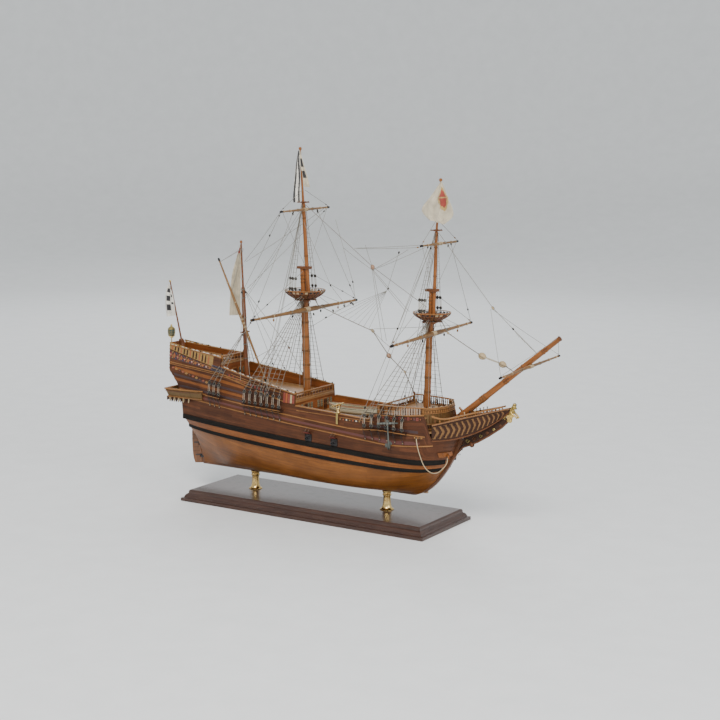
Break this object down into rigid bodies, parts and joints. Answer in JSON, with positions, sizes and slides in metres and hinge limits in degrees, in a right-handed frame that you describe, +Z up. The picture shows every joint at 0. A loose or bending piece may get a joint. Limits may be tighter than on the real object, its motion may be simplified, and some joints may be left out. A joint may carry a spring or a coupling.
{
  "type": "model sailing ship",
  "caption": "Wooden model of a three-masted galleon with high stern, full rigging, square and lateen yards, and flags, on a stepped stand with brass pedestals.",
  "frame": {"origin": "middle of the stand's underside", "axes": "+X towards the bow, +Y to port, +Z up"},
  "size_m": [0.6916, 0.3008, 0.5472],
  "materials": {
    "stand_wood": "polished dark mahogany",
    "polished_brass": "polished",
    "screw_steel": "plain",
    "hull_wood": "satin varnish over warm brown planks",
    "dark_wood": "satin varnish",
    "frame_wood": "bare plywood",
    "black_wood": "satin black stain",
    "trim_wood": "satin varnish",
    "deck_wood": "satin varnish over laid planks",
    "bulwark_wood": "satin varnish",
    "painted_bulwark": "painted pattern bands",
    "beak_paint": "cream and dark chevrons",
    "gilt_casting": "gilt paint",
    "blackened_metal": "blackened",
    "boat_paint": "pale green-cream paint",
    "light_wood": "bare",
    "mast_wood": "satin orange-brown varnish",
    "top_wood": "satin varnish",
    "rope": "twisted cotton line",
    "flag_cloth": "cotton cloth"
  },
  "bodies": {
    "ship": {"stand_plinth": "stand_wood", "brass_pedestals": "polished_brass", "stand_screws": "screw_steel", "keel": "hull_wood", "sternpost": "hull_wood", "stem": "dark_wood", "planking_starboard": "hull_wood", "planking_port": "hull_wood", "bulkhead_frames": "frame_wood", "wales": "black_wood", "side_mouldings": "trim_wood", "main_deck": "deck_wood", "quarterdeck": "deck_wood", "poop_deck": "deck_wood", "forecastle_deck": "deck_wood", "quarterdeck_sides": "bulwark_wood", "poop_sides": "painted_bulwark", "forecastle_rails": "trim_wood", "cap_rails": "trim_wood", "stern_transom": "hull_wood", "stern_gallery": "trim_wood", "deck_bulkheads": "dark_wood", "beakhead_bulkhead": "dark_wood", "deck_balustrades": "trim_wood", "beak_knee": "dark_wood", "beak_panels": "beak_paint", "beak_grating": "trim_wood", "figurehead": "gilt_casting", "rudder_gudgeons": "blackened_metal", "channels": "black_wood", "deadeyes": "black_wood", "ships_boat": "boat_paint", "hatch_grating": "deck_wood", "gun_barrels": "blackened_metal", "port_lids": "dark_wood", "swivel_socket": "polished_brass", "anchors": "blackened_metal", "hawser": "rope", "hawse_fittings": "light_wood", "stern_lantern": "polished_brass", "ensign_staff": "mast_wood", "ensign": "flag_cloth", "lower_masts": "mast_wood", "topmasts": "mast_wood", "mizzen_mast": "mast_wood", "bowsprit": "mast_wood", "mast_tops": "top_wood", "square_yards": "mast_wood", "lateen_yard": "mast_wood", "spritsail_yard": "mast_wood", "shrouds": "rope", "ratlines": "rope", "stays": "rope", "running_lines": "rope", "rigging_blocks": "light_wood", "masthead_flags": "flag_cloth"},
    "rudder": {"rudder": "hull_wood", "rudder_pintles": "blackened_metal"},
    "swivel_yoke": {"swivel_yoke": "polished_brass"},
    "swivel_gun": {"swivel_gun": "polished_brass"}
  },
  "joints": [
    {"name": "rudder_hinge", "type": "hinge", "parent": "ship", "child": "rudder", "pos_m": [-0.2304, 0, 0.0455], "axis": [-0.1289, 0, 0.9917], "range_deg": [-35, 35]},
    {"name": "swivel_gun_turn", "type": "hinge", "parent": "ship", "child": "swivel_yoke", "pos_m": [0.066, -0.0554, 0.1691], "axis": [0, 0, 1], "range_deg": [-40, 40]},
    {"name": "swivel_gun_tilt", "type": "hinge", "parent": "swivel_yoke", "child": "swivel_gun", "pos_m": [0.066, -0.0554, 0.1781], "axis": [-1, 0, 0], "range_deg": [-10, 25]}
  ]
}
